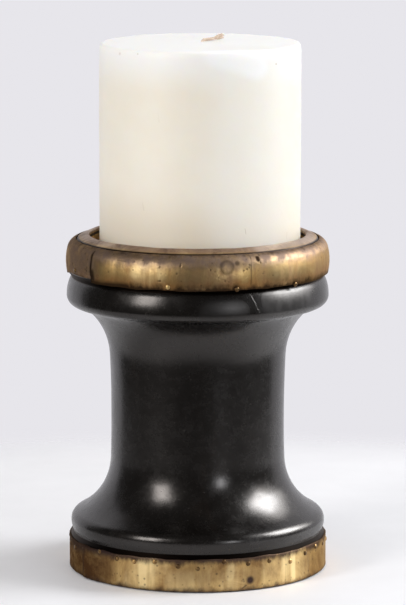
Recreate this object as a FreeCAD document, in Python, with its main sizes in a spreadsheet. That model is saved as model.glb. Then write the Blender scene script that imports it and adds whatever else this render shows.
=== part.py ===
import FreeCAD, Part
import os
import re
import Sketcher

# A turned wooden pillar candle holder, bound with brass at its rim and foot, and its candle.
# The origin is the middle of the face that the holder stands on, and Z points up.
# All lengths are millimetres, all angles are degrees, and angles start at +X and turn towards +Y.

# Driving sizes. Widths are built outwards from the candle to the rim, and the neck and the foot are
# set in from the rim. Heights are stacked from the table upwards, so each one is the height of its
# own moulding alone.
SIZES = {
    # Pillar candle, standing a little off the middle of the cup
    "candle_diameter": 76.2,
    "candle_height": 80.2,
    "candle_edge_round": 1.2,
    "candle_offset": 0.9,
    "candle_seat": 0.1,
    # Wick, bent over onto the candle's top
    "wick_diameter": 1.6,
    "wick_bend": 1.2,
    "wick_run": 5.0,
    "wick_tip_bend": 2.2,
    "wick_tip_angle": 50.0,
    "wick_tip": 1.2,
    "wick_angle": 12.0,
    # Clearance between pieces that are pressed, nailed or glued together
    "fit": 0.05,
    # Felt pad let into the underside
    "felt_inset": 7.0,
    "felt_thickness": 1.6,
    "felt_proud": 0.5,
    "felt_margin": 0.3,
    # Brass sheet, the same for both bands and for the cup
    "sheet": 0.6,
    # Band round the foot
    "foot_inset": 0.9,
    "foot_band_height": 12.6,
    "foot_lap": 3.4,
    "foot_seam_angle": -150.5,
    "foot_chamfer": 1.0,
    # Groove and rounded nose of the foot
    "foot_groove_depth": 0.95,
    "nose_overhang": 0.9,
    "nose_rise": 5.1,
    "nose_under": 2.4,
    "nose_round": 4.0,
    # Hollow neck
    "neck_inset": 17.0,
    "neck_rise": 39.8,
    "neck_below": 16.0,
    "neck_above": 24.0,
    "neck_hollow": 470.0,
    # Bead under the rim
    "bead_rise": 42.8,
    "bead_step": 1.8,
    "bead_round": 4.0,
    "bead_inset": 0.2,
    "bead_height": 11.0,
    "bead_fall": 1.7,
    "rim_groove_depth": 0.4,
    "rim_groove_height": 1.7,
    # Bulging band round the rim
    "rim_swell": 3.9,
    "rim_side_round": 20.0,
    "rim_swell_rise": 4.5,
    "rim_side_rise": 5.0,
    "rim_shoulder_round": 4.5,
    "rim_lap": 4.0,
    "rim_seam_angle": -142.0,
    # Brass cup that lines the recess, wider than the candle by some play all round
    "candle_play": 2.8,
    "cup_depth": 8.0,
    "cup_corner": 1.2,
    "lip_width": 5.1,
    "lip_rise": 1.9,
    "lip_round": 0.8,
    "seam_gap": 0.3,
    # Countersunk screw that holds the cup
    "screw_head_diameter": 8.0,
    "screw_shank_diameter": 4.0,
    "screw_length": 25.0,
    "screw_point": 5.0,
    "screw_sunk": 0.2,
    "screw_slot_width": 0.9,
    "screw_slot_depth": 0.9,
    # Brass nails of both bands
    "nail_head_diameter": 1.9,
    "nail_head_height": 0.5,
    "nail_shank_diameter": 0.9,
    "nail_length": 8.0,
    "nail_point": 1.2,
    "foot_nail_count": 34,
    "foot_nail_angle": -46.0,
    "foot_nail_drop": 2.2,
    "rim_nail_count": 12,
    "rim_nail_angle": -42.0,
    "rim_nail_raise": 1.2,
    # How far a cutting tool runs past the material
    "overrun": 1.0,
}

# Places that follow from the sizes, in the order in which they are worked out.
PLACES = {
    # Candle, and the head of the holder round it
    "candle": "candle_diameter / 2",
    "cup_inner": "candle + candle_play",
    "cup_outer": "cup_inner + sheet",
    "seam": "cup_inner + lip_width",
    "rim": "seam + rim_swell",
    "bead": "rim - bead_inset",
    "bead_under": "bead - bead_round",
    "flare_head": "bead_under - bead_step",
    # Foot band and the seat behind it
    "base_level": "felt_proud",
    "foot_band_outer": "rim - foot_inset",
    "foot_band_inner": "foot_band_outer - sheet",
    "foot_lap_outer": "foot_band_outer + sheet",
    "foot_lap_sweep": "foot_lap / foot_band_outer * 180 / pi",
    "foot_seat": "foot_band_inner - fit",
    "foot_seat_edge": "foot_seat - foot_chamfer",
    "foot_chamfer_top": "base_level + foot_chamfer",
    "foot_band_top": "base_level + foot_band_height",
    "foot_groove": "foot_seat - foot_groove_depth",
    "foot_groove_start": "foot_band_top + foot_groove_depth",
    # Felt pad and its recess
    "felt_radius": "foot_band_outer - felt_inset",
    "felt_recess_radius": "felt_radius + felt_margin",
    "felt_recess_top": "felt_thickness + fit",
    # Nose of the foot
    "nose": "foot_groove + nose_overhang",
    "nose_level": "foot_band_top + nose_rise",
    "nose_start": "nose_level - nose_under",
    "nose_under_round": "(nose_overhang ^ 2 + nose_under ^ 2) / (2 * nose_overhang)",
    "nose_centre": "nose - nose_round",
    # Neck, one long hollow between two steeper ones
    "neck": "rim - neck_inset",
    "neck_level": "nose_level + neck_rise",
    "neck_low_level": "neck_level - neck_below",
    "neck_high_level": "neck_level + neck_above",
    "neck_low": "neck + neck_hollow - sqrt(neck_hollow ^ 2 - neck_below ^ 2)",
    "neck_high": "neck + neck_hollow - sqrt(neck_hollow ^ 2 - neck_above ^ 2)",
    # The lower flare leaves the neck and meets the nose without a corner
    "low_lean": "neck_below / neck_hollow",
    "low_upright": "sqrt(1 - low_lean ^ 2)",
    "low_run": "neck_low - nose_centre",
    "low_rise": "neck_low_level - nose_level",
    "low_square": "low_run ^ 2 + low_rise ^ 2 - nose_round ^ 2",
    "low_flare": "low_square / (2 * (nose_round - low_run * low_upright - low_rise * low_lean))",
    "low_centre": "neck_low + low_flare * low_upright",
    "low_centre_level": "neck_low_level + low_flare * low_lean",
    "nose_share": "nose_round / (nose_round + low_flare)",
    "nose_end": "nose_centre + (low_centre - nose_centre) * nose_share",
    "nose_end_level": "nose_level + (low_centre_level - nose_level) * nose_share",
    # The upper flare leaves the neck without a corner and ends under the bead
    "bead_level": "neck_level + bead_rise",
    "high_lean": "neck_above / neck_hollow",
    "high_upright": "sqrt(1 - high_lean ^ 2)",
    "high_run": "flare_head - neck_high",
    "high_rise": "bead_level - neck_high_level",
    "high_square": "high_run ^ 2 + high_rise ^ 2",
    "high_flare": "high_square / (2 * (high_run * high_upright - high_rise * high_lean))",
    # Bead and the groove over it
    "bead_widest": "bead_level + bead_round",
    "bead_top": "bead - bead_fall",
    "bead_top_level": "bead_level + bead_height",
    "bead_climb": "bead_top_level - bead_widest",
    "bead_face_round": "(bead_fall ^ 2 + bead_climb ^ 2) / (2 * bead_fall)",
    "rim_groove": "bead_top - rim_groove_depth",
    "rim_groove_start": "bead_top_level + rim_groove_depth",
    # Rim band: a side arc and a shoulder arc, whose centres all its layers share
    "rim_low_level": "bead_top_level + rim_groove_height",
    "rim_swell_level": "rim_low_level + rim_swell_rise",
    "rim_side_centre": "rim - rim_side_round",
    "rim_up": "rim_side_rise / rim_side_round",
    "rim_out": "sqrt(1 - rim_up ^ 2)",
    "shoulder_centre": "rim_side_centre + (rim_side_round - rim_shoulder_round) * rim_out",
    "shoulder_level": "rim_swell_level + (rim_side_round - rim_shoulder_round) * rim_up",
    "seam_out": "(seam - shoulder_centre) / rim_shoulder_round",
    "seam_up": "sqrt(1 - seam_out ^ 2)",
    "seam_level": "shoulder_level + rim_shoulder_round * seam_up",
    "rim_lap_sweep": "rim_lap / rim * 180 / pi",
    # Cup and its lip
    "cup_outer_corner": "cup_corner + sheet",
    "lip_level": "seam_level + lip_rise",
    "lip_start": "cup_inner + lip_round",
    "lip_edge": "seam - seam_gap",
    "lip_slope": "lip_rise / (seam - lip_start)",
    "lip_edge_top": "seam_level + (seam - lip_edge) * lip_slope",
    "lip_edge_under": "lip_edge_top - sheet",
    "lip_root_under": "seam_level + (seam - cup_outer) * lip_slope - sheet",
    "lip_side_top": "lip_level - lip_round",
    "cup_floor": "lip_level - cup_depth",
    "cup_floor_under": "cup_floor - sheet",
    "cup_floor_edge": "cup_inner - cup_corner",
    "cup_corner_top": "cup_floor + cup_corner",
    # Screw, its dimple in the cup and its hole in the wood
    "screw_shank": "screw_shank_diameter / 2",
    "screw_head": "screw_head_diameter / 2",
    "screw_hole": "screw_shank + fit",
    "dimple_depth": "screw_head - screw_shank + screw_sunk",
    "dimple": "screw_hole + dimple_depth",
    "dimple_level": "cup_floor - dimple_depth",
    "dimple_under": "dimple_level - sheet",
    "screw_top": "cup_floor - screw_sunk",
    "screw_tip": "screw_top - screw_length",
    "screw_point_top": "screw_tip + screw_point",
    "screw_neck_level": "screw_top - screw_head + screw_shank",
    # Recess in the wood, clear of the cup by the fit
    "recess": "cup_outer + fit",
    "recess_floor": "cup_floor_under - fit",
    "recess_cone": "dimple_under - fit",
    "recess_mouth": "lip_root_under - fit",
    "screw_hole_end": "screw_tip - fit",
    "slot_side": "screw_slot_width / 2",
    "slot_other_side": "-slot_side",
    "slot_end": "screw_head + overrun",
    "slot_other_end": "-slot_end",
    # Nails
    "nail_head": "nail_head_diameter / 2",
    "nail_shank": "nail_shank_diameter / 2",
    "nail_hole": "nail_shank + fit",
    "nail_dome": "(nail_head ^ 2 + nail_head_height ^ 2) / (2 * nail_head_height)",
    "foot_nail_level": "foot_band_top - foot_nail_drop",
    "foot_nail_seat": "foot_band_outer + fit",
    "rim_nail_level": "rim_low_level + rim_nail_raise",
    "rim_nail_reach": "rim_swell_level - rim_nail_level - nail_head",
    "rim_nail_seat": "rim_side_centre + sqrt(rim_side_round ^ 2 - rim_nail_reach ^ 2) + fit",
    # Candle and wick
    "candle_base": "cup_floor + candle_seat",
    "candle_top": "candle_base + candle_height",
    "candle_edge": "candle - candle_edge_round",
    "candle_edge_level": "candle_top - candle_edge_round",
    "wick": "wick_diameter / 2",
    "wick_hole": "wick + fit",
    "wick_lie": "candle_top + wick_bend",
    "wick_reach": "wick_bend + wick_run",
    "tip_out": "wick_reach + wick_tip_bend * sin(wick_tip_angle * 1 deg)",
    "tip_up": "wick_lie + wick_tip_bend * (1 - cos(wick_tip_angle * 1 deg))",
    "tip_end_out": "tip_out + wick_tip * cos(wick_tip_angle * 1 deg)",
    "tip_end_up": "tip_up + wick_tip * sin(wick_tip_angle * 1 deg)",
}


def rim_layer(name, depth):
    """Places on the rim's two arcs at a depth below the outside of the band."""
    side = f"(rim_side_round - {depth})"
    shoulder = f"(rim_shoulder_round - {depth})"
    return {
        f"{name}_side_round": side,
        f"{name}_shoulder_round": shoulder,
        f"{name}_low": f"rim_side_centre + sqrt({side} ^ 2 - rim_swell_rise ^ 2)",
        f"{name}_turn": f"rim_side_centre + {side} * rim_out",
        f"{name}_turn_level": f"rim_swell_level + {side} * rim_up",
        f"{name}_end": f"shoulder_centre + {shoulder} * seam_out",
        f"{name}_end_level": f"shoulder_level + {shoulder} * seam_up",
    }


def nail_places(name):
    """Places along and beside one nail and its hole, from its seat and its level."""
    return {
        f"{name}_top": f"{name}_seat + nail_head_height",
        f"{name}_tip": f"{name}_seat - nail_length",
        f"{name}_point": f"{name}_tip + nail_point",
        f"{name}_head_side": f"{name}_level + nail_head",
        f"{name}_shank_side": f"{name}_level + nail_shank",
        f"{name}_hole_side": f"{name}_level + nail_hole",
        f"{name}_hole_end": f"{name}_tip - fit",
        f"{name}_hole_mouth": f"{name}_seat + overrun",
    }


PLACES.update(rim_layer("skin", "0"))
PLACES.update(rim_layer("lining", "sheet"))
PLACES.update(rim_layer("wood", "(sheet + fit)"))
PLACES.update(rim_layer("lap", "(-sheet)"))
PLACES.update(nail_places("foot_nail"))
PLACES.update(nail_places("rim_nail"))

doc = FreeCAD.newDocument("CandleHolder")


def make_sheet(name, title, rows):
    """Fill one sheet with titles, values and an alias for each row."""
    sheet = doc.addObject("Spreadsheet::Sheet", name)
    sheet.set("A1", title)
    for number, (alias, content) in enumerate(rows.items(), start=2):
        sheet.set(f"A{number}", alias)
        sheet.set(f"B{number}", content)
        sheet.setAlias(f"B{number}", alias)
    doc.recompute()
    return sheet


def from_sizes(text):
    """Point the names of driving sizes in a formula at the sheet that holds them."""
    return re.sub(r"[a-z_]+", lambda word: f"Sizes.{word[0]}" if word[0] in SIZES else word[0], text)


sizes = make_sheet("Sizes", "Driving sizes", {alias: str(value) for alias, value in SIZES.items()})
places = make_sheet("Places", "Worked out places",
                    {alias: "=" + from_sizes(text) for alias, text in PLACES.items()})


def source(alias):
    """The cell that an alias names, for an expression."""
    return f"Sizes.{alias}" if alias in SIZES else f"Places.{alias}"


def value(alias):
    """The number behind an alias."""
    return float(getattr(sizes if alias in SIZES else places, alias))


def new_body(label):
    body = doc.addObject("PartDesign::Body", label)
    body.Label = label
    return body


def plane_of(body, role):
    return next(item for item in body.Origin.OriginFeatures if item.Role == role)


def new_sketch(body, name, angle=None):
    """A sketch on the upright plane through the axis, turned about the axis by an angle.

    Its first axis points outwards and its second axis points up.
    """
    sketch = body.newObject("Sketcher::SketchObject", name)
    sketch.AttachmentSupport = [(plane_of(body, "XZ_Plane"), "")]
    sketch.MapMode = "FlatFace"
    if angle:
        sketch.AttachmentOffset = FreeCAD.Placement(
            FreeCAD.Vector(0, 0, 0), FreeCAD.Rotation(FreeCAD.Vector(0, 1, 0), value(angle)))
        sketch.setExpression(".AttachmentOffset.Rotation.Angle", source(angle))
    return sketch


# In a sketch, -1 names its first axis and -2 its second axis. On an edge, 1 names the start,
# 2 the end and 3 the centre, and on the first axis 1 names the origin.
def pin_point(sketch, edge, spot, out, up):
    """Hold one point of a sketch at two named distances. None means on that axis."""
    for alias, kind, axis in ((out, "DistanceX", -2), (up, "DistanceY", -1)):
        if alias is None:
            sketch.addConstraint(Sketcher.Constraint("PointOnObject", edge, spot, axis))
            continue
        number = sketch.addConstraint(
            Sketcher.Constraint(kind, -1, 1, edge, spot, value(alias)))
        sketch.setExpression(f"Constraints[{number}]", source(alias))


def arc_between(first, last, radius, hollow):
    """An arc from first to last. Its centre is on the left, or on the right if hollow."""
    chord = last - first
    middle = (first + last) / 2
    height = (radius ** 2 - (chord.Length / 2) ** 2) ** 0.5
    left = FreeCAD.Vector(-chord.y, chord.x, 0).normalize()
    centre = middle - left * height if hollow else middle + left * height
    circle = Part.Circle(centre, FreeCAD.Vector(0, 0, 1), radius)
    ends = (last, first) if hollow else (first, last)
    return Part.ArcOfCircle(circle, *(circle.parameter(point) for point in ends))


def draw_outline(sketch, steps, closed=True):
    """Draw lines and arcs through named points and bind every size to its cell.

    Each step is the way to the next point ("line", "round" or "hollow"), the two aliases of
    that point and, for an arc, the alias of its radius. The first step names the start.
    """
    points = [FreeCAD.Vector(value(step[1]) if step[1] else 0, value(step[2]) if step[2] else 0, 0)
              for step in steps]
    route = list(range(1, len(steps)))
    if closed:
        route.append(0)
    tails = []
    for target in route:
        way, out, up = steps[target][:3]
        first = points[target - 1]
        last = points[target]
        if way == "line":
            edge = sketch.addGeometry(Part.LineSegment(first, last), False)
            spots = (1, 2)
        else:
            hollow = way == "hollow"
            radius = steps[target][3]
            edge = sketch.addGeometry(arc_between(first, last, value(radius), hollow), False)
            spots = (2, 1) if hollow else (1, 2)
        if tails:
            sketch.addConstraint(Sketcher.Constraint("Coincident", *tails[-1], edge, spots[0]))
        if closed and target == 0:
            sketch.addConstraint(Sketcher.Constraint("Coincident", edge, spots[1], 0, 1))
        else:
            if target == 1:
                pin_point(sketch, edge, spots[0], *steps[0][1:3])
            pin_point(sketch, edge, spots[1], out, up)
        if way != "line":
            number = sketch.addConstraint(Sketcher.Constraint("Radius", edge, value(radius)))
            sketch.setExpression(f"Constraints[{number}]", source(radius))
        tails.append((edge, spots[1]))
    return sketch


def turn(body, name, steps, angle=None, sweep=None):
    """Turn an outline about the upright axis, all the way round or by a named sweep."""
    sketch = draw_outline(new_sketch(body, name + "_outline", angle), steps)
    feature = body.newObject("PartDesign::Revolution", name)
    feature.Profile = sketch
    feature.ReferenceAxis = (sketch, ["V_Axis"])
    feature.Angle = 360
    if sweep:
        feature.setExpression("Angle", source(sweep))
    doc.recompute()
    return feature


def repeat_round(body, name, feature, count):
    """Repeat a feature evenly about the upright axis."""
    pattern = body.newObject("PartDesign::PolarPattern", name)
    pattern.Originals = [feature]
    pattern.Axis = (plane_of(body, "Z_Axis"), [""])
    pattern.Angle = 360
    pattern.setExpression("Occurrences", source(count))
    body.Tip = pattern
    doc.recompute()
    return pattern


def radial(body, kind, name, angle, level, steps):
    """Turn an outline about a line that points outwards at a named level."""
    sketch = draw_outline(new_sketch(body, name + "_outline", angle), steps)
    reach = steps[1][1]
    start = FreeCAD.Vector(0, value(level), 0)
    end = FreeCAD.Vector(value(reach), value(level), 0)
    line = sketch.addGeometry(Part.LineSegment(start, end), True)
    pin_point(sketch, line, 1, None, level)
    pin_point(sketch, line, 2, reach, level)
    feature = body.newObject(kind, name)
    feature.Profile = sketch
    feature.ReferenceAxis = (sketch, ["Axis0"])
    feature.Angle = 360
    doc.recompute()
    return feature


def nail_outline(name):
    """Half of a nail: pointed shank and low domed head, from its point outwards."""
    return [
        ("line", f"{name}_tip", f"{name}_level"),
        ("line", f"{name}_top", f"{name}_level"),
        ("round", f"{name}_seat", f"{name}_head_side", "nail_dome"),
        ("line", f"{name}_seat", f"{name}_shank_side"),
        ("line", f"{name}_point", f"{name}_shank_side"),
    ]


def nail_hole_outline(name):
    return [
        ("line", f"{name}_hole_end", f"{name}_level"),
        ("line", f"{name}_hole_mouth", f"{name}_level"),
        ("line", f"{name}_hole_mouth", f"{name}_hole_side"),
        ("line", f"{name}_hole_end", f"{name}_hole_side"),
    ]


def nail_holes(body, name):
    """Bore the holes of one ring of nails through a body."""
    hole = radial(body, "PartDesign::Groove", f"{name}_hole", f"{name}_angle", f"{name}_level",
                  nail_hole_outline(name))
    repeat_round(body, f"{name}_holes", hole, f"{name}_count")


def ring_of_nails(label, name):
    """One ring of nails, all alike and apart from each other."""
    body = new_body(label)
    body.AllowCompound = True
    nail = radial(body, "PartDesign::Revolution", f"{name}", f"{name}_angle", f"{name}_level",
                  nail_outline(name))
    repeat_round(body, f"{name}_ring", nail, f"{name}_count")
    return body


# Wooden body, turned in one piece from the felt recess round to the screw's hole
def turned_body():
    body = new_body("turned_body")
    turn(body, "turning", [
        ("line", None, "felt_recess_top"),
        ("line", "felt_recess_radius", "felt_recess_top"),
        ("line", "felt_recess_radius", "base_level"),
        ("line", "foot_seat_edge", "base_level"),
        ("line", "foot_seat", "foot_chamfer_top"),
        ("line", "foot_seat", "foot_band_top"),
        ("line", "foot_groove", "foot_groove_start"),
        ("line", "foot_groove", "nose_start"),
        ("round", "nose", "nose_level", "nose_under_round"),
        ("round", "nose_end", "nose_end_level", "nose_round"),
        ("hollow", "neck_low", "neck_low_level", "low_flare"),
        ("hollow", "neck_high", "neck_high_level", "neck_hollow"),
        ("hollow", "flare_head", "bead_level", "high_flare"),
        ("line", "bead_under", "bead_level"),
        ("round", "bead", "bead_widest", "bead_round"),
        ("round", "bead_top", "bead_top_level", "bead_face_round"),
        ("line", "rim_groove", "rim_groove_start"),
        ("line", "rim_groove", "rim_low_level"),
        ("line", "wood_low", "rim_low_level"),
        ("round", "wood_turn", "wood_turn_level", "wood_side_round"),
        ("round", "wood_end", "wood_end_level", "wood_shoulder_round"),
        ("line", "recess", "recess_mouth"),
        ("line", "recess", "recess_floor"),
        ("line", "dimple", "recess_floor"),
        ("line", "screw_hole", "recess_cone"),
        ("line", "screw_hole", "screw_hole_end"),
        ("line", None, "screw_hole_end"),
    ])
    nail_holes(body, "foot_nail")
    nail_holes(body, "rim_nail")
    return body


# Brass cup, pressed from one sheet: dimpled floor, wall and a lip that slopes down to the band
def candle_cup():
    body = new_body("candle_cup")
    turn(body, "pressing", [
        ("line", "screw_hole", "dimple_under"),
        ("line", "dimple", "cup_floor_under"),
        ("line", "cup_floor_edge", "cup_floor_under"),
        ("round", "cup_outer", "cup_corner_top", "cup_outer_corner"),
        ("line", "cup_outer", "lip_root_under"),
        ("line", "lip_edge", "lip_edge_under"),
        ("line", "lip_edge", "lip_edge_top"),
        ("line", "lip_start", "lip_level"),
        ("round", "cup_inner", "lip_side_top", "lip_round"),
        ("line", "cup_inner", "cup_corner_top"),
        ("hollow", "cup_floor_edge", "cup_floor", "cup_corner"),
        ("line", "dimple", "cup_floor"),
        ("line", "screw_hole", "dimple_level"),
    ])
    return body


# Countersunk wood screw in the middle of the cup, its slot cut across the head
def cup_screw():
    body = new_body("cup_screw")
    turn(body, "shank", [
        ("line", None, "screw_tip"),
        ("line", "screw_shank", "screw_point_top"),
        ("line", "screw_shank", "screw_neck_level"),
        ("line", "screw_head", "screw_top"),
        ("line", None, "screw_top"),
    ])
    sketch = body.newObject("Sketcher::SketchObject", "slot_outline")
    sketch.AttachmentSupport = [(plane_of(body, "XY_Plane"), "")]
    sketch.MapMode = "FlatFace"
    sketch.setExpression(".AttachmentOffset.Base.z", source("screw_top"))
    draw_outline(sketch, [
        ("line", "slot_other_end", "slot_other_side"),
        ("line", "slot_end", "slot_other_side"),
        ("line", "slot_end", "slot_side"),
        ("line", "slot_other_end", "slot_side"),
    ])
    slot = body.newObject("PartDesign::Pocket", "slot")
    slot.Profile = sketch
    slot.setExpression("Length", source("screw_slot_depth"))
    doc.recompute()
    return body


# Bulging brass band round the rim, its end lapped over its beginning and nailed low down
def rim_band():
    body = new_body("rim_band")
    turn(body, "rim_strip", [
        ("hollow", "lining_low", "rim_low_level", "lining_side_round"),
        ("line", "skin_low", "rim_low_level"),
        ("round", "skin_turn", "skin_turn_level", "skin_side_round"),
        ("round", "skin_end", "skin_end_level", "skin_shoulder_round"),
        ("line", "lining_end", "lining_end_level"),
        ("hollow", "lining_turn", "lining_turn_level", "lining_shoulder_round"),
    ])
    turn(body, "rim_lapped_end", [
        ("hollow", "skin_low", "rim_low_level", "skin_side_round"),
        ("line", "lap_low", "rim_low_level"),
        ("round", "lap_turn", "lap_turn_level", "lap_side_round"),
        ("round", "lap_end", "lap_end_level", "lap_shoulder_round"),
        ("line", "skin_end", "skin_end_level"),
        ("hollow", "skin_turn", "skin_turn_level", "skin_shoulder_round"),
    ], "rim_seam_angle", "rim_lap_sweep")
    nail_holes(body, "rim_nail")
    return body


# Flat brass band round the foot, lapped in the same way and nailed along its top
def foot_band():
    body = new_body("foot_band")
    turn(body, "foot_strip", [
        ("line", "foot_band_inner", "base_level"),
        ("line", "foot_band_outer", "base_level"),
        ("line", "foot_band_outer", "foot_band_top"),
        ("line", "foot_band_inner", "foot_band_top"),
    ])
    turn(body, "foot_lapped_end", [
        ("line", "foot_band_outer", "base_level"),
        ("line", "foot_lap_outer", "base_level"),
        ("line", "foot_lap_outer", "foot_band_top"),
        ("line", "foot_band_outer", "foot_band_top"),
    ], "foot_seam_angle", "foot_lap_sweep")
    nail_holes(body, "foot_nail")
    return body


# Felt pad that the holder stands on
def base_felt():
    body = new_body("base_felt")
    turn(body, "pad", [
        ("line", None, None),
        ("line", "felt_radius", None),
        ("line", "felt_radius", "felt_thickness"),
        ("line", None, "felt_thickness"),
    ])
    return body


def stand_in_cup(body):
    """Set a piece of the candle off the middle of the cup."""
    body.setExpression(".Placement.Base.x", source("candle_offset"))


# Wax pillar with a softened top edge and the wick's hole down its middle
def candle_wax():
    body = new_body("candle_wax")
    turn(body, "pillar", [
        ("line", "wick_hole", "candle_base"),
        ("line", "candle", "candle_base"),
        ("line", "candle", "candle_edge_level"),
        ("round", "candle_edge", "candle_top", "candle_edge_round"),
        ("line", "wick_hole", "candle_top"),
    ])
    stand_in_cup(body)
    return body


# Wick, upright in the wax, then bent over along the top with its tip raised
def candle_wick():
    body = new_body("candle_wick")
    path = draw_outline(new_sketch(body, "wick_path", "wick_angle"), [
        ("line", None, "candle_base"),
        ("line", None, "candle_top"),
        ("hollow", "wick_bend", "wick_lie", "wick_bend"),
        ("line", "wick_reach", "wick_lie"),
        ("round", "tip_out", "tip_up", "wick_tip_bend"),
        ("line", "tip_end_out", "tip_end_up"),
    ], closed=False)
    section = body.newObject("Sketcher::SketchObject", "wick_section")
    section.AttachmentSupport = [(plane_of(body, "XY_Plane"), "")]
    section.MapMode = "FlatFace"
    section.setExpression(".AttachmentOffset.Base.z", source("candle_base"))
    edge = section.addGeometry(
        Part.Circle(FreeCAD.Vector(0, 0, 0), FreeCAD.Vector(0, 0, 1), value("wick")), False)
    section.addConstraint(Sketcher.Constraint("Coincident", edge, 3, -1, 1))
    number = section.addConstraint(Sketcher.Constraint("Radius", edge, value("wick")))
    section.setExpression(f"Constraints[{number}]", source("wick"))
    cord = body.newObject("PartDesign::AdditivePipe", "twist")
    cord.Profile = section
    cord.Spine = (path, [""])
    doc.recompute()
    stand_in_cup(body)
    return body


PIECES = [
    turned_body(),
    candle_cup(),
    cup_screw(),
    rim_band(),
    ring_of_nails("rim_band_nails", "rim_nail"),
    foot_band(),
    ring_of_nails("foot_band_nails", "foot_nail"),
    base_felt(),
    candle_wax(),
    candle_wick(),
]
doc.recompute()


def check_model():
    """Stop if any object failed to build or any piece is not a sound solid."""
    for item in doc.Objects:
        if "Invalid" in item.State or "Error" in item.State:
            raise RuntimeError(f"{item.Label} did not build: {item.State}")
    for piece in PIECES:
        shape = piece.Shape
        if shape.isNull() or not shape.isValid() or not shape.Solids:
            raise RuntimeError(f"{piece.Label} is not a sound solid")


def write_pieces():
    os.makedirs("parts", exist_ok=True)
    for piece in PIECES:
        piece.Shape.exportStep(f"parts/{piece.Label}.step")
        print(f"{piece.Label}: {len(piece.Shape.Solids)} solid(s), {piece.Shape.Volume:.1f} mm3")


check_model()
write_pieces()
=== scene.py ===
"""A turned, black-lacquered candle holder with nailed brass bands, and its pillar candle.

Radii, heights and widths are in millimetres, and the room's in metres. Angles are in degrees
round the holder from the viewer's right (+X) against the clock, so the side towards the viewer
is at -90.
"""

import math
import random

import bpy
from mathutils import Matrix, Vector


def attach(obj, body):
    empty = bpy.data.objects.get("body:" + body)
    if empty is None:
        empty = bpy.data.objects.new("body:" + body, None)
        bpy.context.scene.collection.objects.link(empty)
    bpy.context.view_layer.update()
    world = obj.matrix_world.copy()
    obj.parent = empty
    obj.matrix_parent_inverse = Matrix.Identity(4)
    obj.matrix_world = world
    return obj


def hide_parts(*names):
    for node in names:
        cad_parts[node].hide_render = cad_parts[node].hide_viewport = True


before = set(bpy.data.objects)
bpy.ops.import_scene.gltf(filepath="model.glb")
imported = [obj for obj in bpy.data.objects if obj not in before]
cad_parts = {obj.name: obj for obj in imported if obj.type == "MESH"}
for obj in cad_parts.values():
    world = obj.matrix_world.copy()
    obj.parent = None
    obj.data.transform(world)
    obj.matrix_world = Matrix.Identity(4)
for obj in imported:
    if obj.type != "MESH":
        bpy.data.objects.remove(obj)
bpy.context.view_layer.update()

MM = 0.001
MERGE_GAP = 0.002 * MM
ROUND_STEPS = 256  # how finely a turned piece is swept

# Sizes that several pieces share, in mm
FOOT_TOP = 13.1
RIM_LOW = 113.5
LAP_LIFT = 0.62
CANDLE_TOP = 200.44
CANDLE_SHIFT = 0.9

# The room, in metres
AIM = Vector((0, 0, 0.1))  # the middle of the object, which camera and lamps face
TABLE_RADIUS = 0.32
ROOM_RADIUS = 1.3
WALL_COLOUR = (0.80, 0.79, 0.83)
WALL_LIGHT = (0.47, 0.47, 0.475)


# ---------------------------------------------------------------- shaping


def at(angle, radius, height):
    """A point at an angle round the holder, in metres."""
    turn = math.radians(angle)
    return Vector((radius * math.cos(turn), radius * math.sin(turn), height)) * MM


def select_nothing():
    if bpy.context.object and bpy.context.object.mode != "OBJECT":
        bpy.ops.object.mode_set(mode="OBJECT")
    bpy.ops.object.select_all(action="DESELECT")


def take_up(piece):
    """Makes one piece the only one that operators work on."""
    select_nothing()
    piece.select_set(True)
    bpy.context.view_layer.objects.active = piece


def arc_points(start, end, radius, hollow):
    """The points of an arc after its start, about 6 degrees or 2.5 mm apart."""
    chord = (end[0] - start[0], end[1] - start[1])
    length = math.hypot(*chord)
    reach = math.sqrt(max(radius**2 - length**2 / 4, 0))
    side = -1 if hollow else 1
    centre = (
        (start[0] + end[0]) / 2 - side * chord[1] / length * reach,
        (start[1] + end[1]) / 2 + side * chord[0] / length * reach,
    )
    sweep = 2 * math.asin(min(length / 2 / radius, 1)) * side
    steps = max(3, math.ceil(abs(math.degrees(sweep)) / 6), math.ceil(length / 2.5))
    begin = math.atan2(start[1] - centre[1], start[0] - centre[0])
    return [
        (
            centre[0] + radius * math.cos(begin + sweep * k / steps),
            centre[1] + radius * math.sin(begin + sweep * k / steps),
        )
        for k in range(1, steps + 1)
    ]


def outline_points(outline):
    """Follows an outline's steps: ("line", r, z), ("round", r, z, radius) or ("hollow", ...).

    A line can also end in a spacing, and then has points that far apart.
    """
    points = [outline[0]]
    for way, r, z, *measure in outline[1:]:
        if way == "line":
            r0, z0 = points[-1]
            run = math.hypot(r - r0, z - z0)
            parts = max(1, round(run / measure[0])) if measure else 1
            points += [
                (r0 + (r - r0) * k / parts, z0 + (z - z0) * k / parts)
                for k in range(1, parts + 1)
            ]
        else:
            points += arc_points(points[-1], (r, z), measure[0], way == "hollow")
    return points


def draw_outline(name, outline, angle=0, closed=False):
    """Draws a piece's section point by point, and leaves it selected in edit mode."""
    select_nothing()
    points = outline_points(outline)
    first = at(angle, *points[0])
    bpy.ops.mesh.primitive_plane_add(size=0.1 * MM, location=first)
    piece = bpy.context.object
    piece.name = piece.data.name = name
    bpy.ops.object.transform_apply(location=True, rotation=True, scale=True)
    bpy.ops.object.mode_set(mode="EDIT")
    bpy.ops.mesh.select_mode(type="VERT")
    bpy.ops.mesh.select_all(action="SELECT")
    bpy.ops.mesh.merge(type="CENTER")
    place = first
    for r, z in points[1:]:
        spot = at(angle, r, z)
        bpy.ops.mesh.extrude_region_move(
            TRANSFORM_OT_translate={"value": spot - place}
        )
        place = spot
    bpy.ops.mesh.select_all(action="SELECT")
    if closed:
        bpy.ops.mesh.remove_doubles(threshold=MERGE_GAP)
    return piece


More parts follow.
